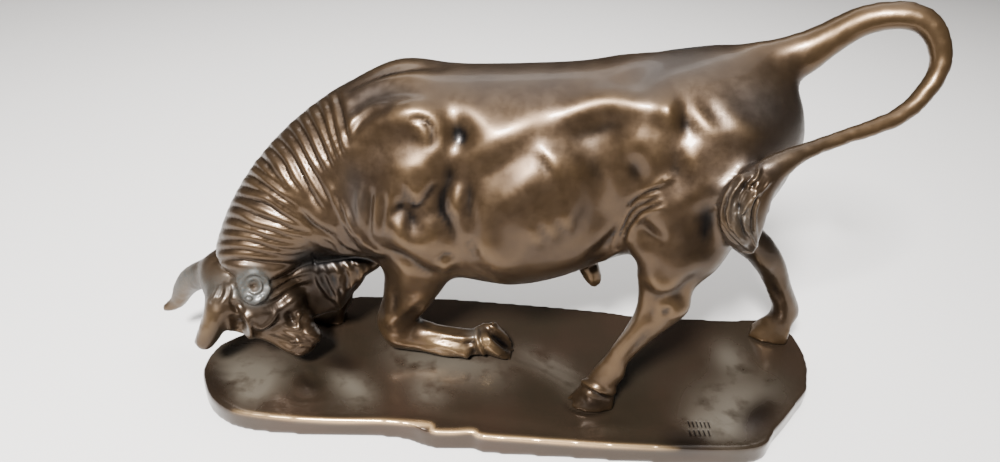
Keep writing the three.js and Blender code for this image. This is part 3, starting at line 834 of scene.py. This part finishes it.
def bronzePatina():
    # half-gloss bronze finish: golden where rubbed, near black in the folds and under the painted shade, dusty
    # grey with painted sheen on top
    made = newMaterial("bronzePatina")
    tree = made.node_tree
    patches = noise(tree, 30 * mm, low=0.15, high=0.85)
    speckle = noise(tree, 1.2 * mm, detail=3)
    dustAndSheen = times(tree, stored(tree, "dustAndSheen"), lerp(tree, patches, 0.5, 1.0))
    bare = times(tree, stored(tree, "bare"), lerp(tree, speckle, 0.6, 1.0))
    colour = blend(tree, patches, bronzeLook["brown"], bronzeLook["gold"])
    colour = blend(tree, stored(tree, "worn"), colour, bronzeLook["gold"])
    colour = blend(tree, stored(tree, "gild"), colour, bronzeLook["rubbed"])
    # grey where dust and painted sheen lie
    colour = blend(tree, dustAndSheen, colour, bronzeLook["dustAndSheen"])
    colour = blend(tree, bare, colour, bronzeLook["bare"])
    # near black in the darker creases and under the painted shade
    colour = blend(tree, stored(tree, "hollowAndShade"), colour, bronzeLook["recessAndShade"])
    low, high = bronzeLook["roughness"]
    rough = lerp(tree, noise(tree, 6 * mm), low, high)
    rough = addNode(tree, "Math", {"operation": "MULTIPLY_ADD", 1: 0.2}, {0: dustAndSheen, 2: rough}).outputs[0]
    rough = addNode(tree, "Math", {"operation": "MULTIPLY_ADD", 1: 0.3}, {0: bare, 2: rough}).outputs[0]
    grain = noise(tree, bronzeLook["grain"], detail=2)
    bump = addNode(tree, "Bump", {"Strength": 0.12, "Distance": 0.1 * mm}, {"Height": grain})
    shader = addNode(tree, "BsdfPrincipled", {"Coat Weight": 0.12, "Coat Roughness": 0.12},
                     {"Base Color": colour, "Metallic": lerp(tree, bare, 0.8, 0.3), "Roughness": rough,
                      "Normal": bump.outputs[0]})
    addNode(tree, "OutputMaterial", None, {"Surface": shader.outputs[0]})
    return made


baseLook = {
    "brown": "#35281f",
    "olive": "#2b241b",
    "darkRecessAndShade": "#0f0b09",
    "dustAndSheen": "#4b453c",
    "rubbed": "#c9a679",
    "roughness": (0.24, 0.44),
}


def darkPatina():
    # glossy chocolate brown finish with dull tan-grey patches of dust and painted sheen, a rubbed golden rim, and
    # near black hollows and painted shade
    made = newMaterial("darkPatina")
    tree = made.node_tree
    clouds = noise(tree, 50 * mm, detail=5, low=0.3, high=0.7)
    dustAndSheen = times(tree, stored(tree, "dustAndSheen"), noise(tree, 16 * mm, detail=5, low=0.25, high=0.5))
    colour = blend(tree, clouds, baseLook["brown"], baseLook["olive"])
    # tan-grey where dust and painted sheen lie
    colour = blend(tree, dustAndSheen, colour, baseLook["dustAndSheen"])
    colour = blend(tree, stored(tree, "gild"), colour, baseLook["rubbed"])
    # near black in hollows, in the carved strokes and under the painted shade
    colour = blend(tree, stored(tree, "hollowAndShade"), colour, baseLook["darkRecessAndShade"])
    rough = lerp(tree, dustAndSheen, *baseLook["roughness"])
    bump = addNode(tree, "Bump", {"Strength": 0.1, "Distance": 0.1 * mm}, {"Height": noise(tree, 0.7 * mm)})
    shader = addNode(tree, "BsdfPrincipled", {"Coat Weight": 0.2, "Coat Roughness": 0.15},
                     {"Base Color": colour, "Metallic": lerp(tree, dustAndSheen, 0.6, 0.35), "Roughness": rough,
                      "Normal": bump.outputs[0]})
    addNode(tree, "OutputMaterial", None, {"Surface": shader.outputs[0]})
    return made


def paleFloor():
    # plain matt off-white
    made = newMaterial("paleFloor")
    tree = made.node_tree
    shader = addNode(tree, "BsdfPrincipled", {"Base Color": linear("#c4c1be"), "Roughness": 0.8})
    addNode(tree, "OutputMaterial", None, {"Surface": shader.outputs[0]})
    return made


# scene

studio = {
    "floor": {"left": -4, "right": 4, "front": -0.24, "back": 6},  # m; the floor ends just in front of the base
    "world": 0.05,
    "lights": {
        "key": {"at": (-0.3, -0.8, 0.95), "aim": (0, 0, 0.1), "size": 0.22, "watts": 105},
        "fill": {"at": (0.1, 0.2, 1.7), "aim": (0, 0.3, 0), "size": 1.4, "watts": 12},
        "backdrop": {"at": (0, 0.5, 0.9), "aim": (0, 1.5, 0), "size": 1.2, "watts": 24},
    },
}


def addFloor():
    left, right, front, back = (studio["floor"][side] for side in ("left", "right", "front", "back"))
    mesh = bpy.data.meshes.new("floor")
    corners = [(left, front, 0), (right, front, 0), (right, back, 0), (left, back, 0)]
    mesh.from_pydata(corners, [], [(0, 1, 2, 3)])
    floor = bpy.data.objects.new("floor", mesh)
    bpy.context.scene.collection.objects.link(floor)
    mesh.materials.append(paleFloor())
    return floor


def addLights():
    for name, light in studio["lights"].items():
        data = bpy.data.lights.new(name, "AREA")
        data.shape = "DISK"
        data.size = light["size"]
        data.energy = light["watts"]
        lamp = bpy.data.objects.new(name, data)
        aim = Vector(light["aim"]) - Vector(light["at"])
        lamp.matrix_world = Matrix.Translation(light["at"]) @ aim.to_track_quat("-Z", "Y").to_matrix().to_4x4()
        bpy.context.scene.collection.objects.link(lamp)
    world = bpy.data.worlds.new("studio")
    world.use_nodes = True
    world.node_tree.nodes["Background"].inputs["Color"].default_value = linear("#e9e6e2")
    world.node_tree.nodes["Background"].inputs["Strength"].default_value = studio["world"]
    bpy.context.scene.world = world


addCamera()
bull = shapeBull()
paintBull(bull.data)
bull.data.materials.append(bronzePatina())
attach(bull, "root")
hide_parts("bull")

base = shapeBase()
paintBase(base.data)
base.data.materials.append(darkPatina())
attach(base, "root")
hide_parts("base")

addFloor()
addLights()
print("scene ready")
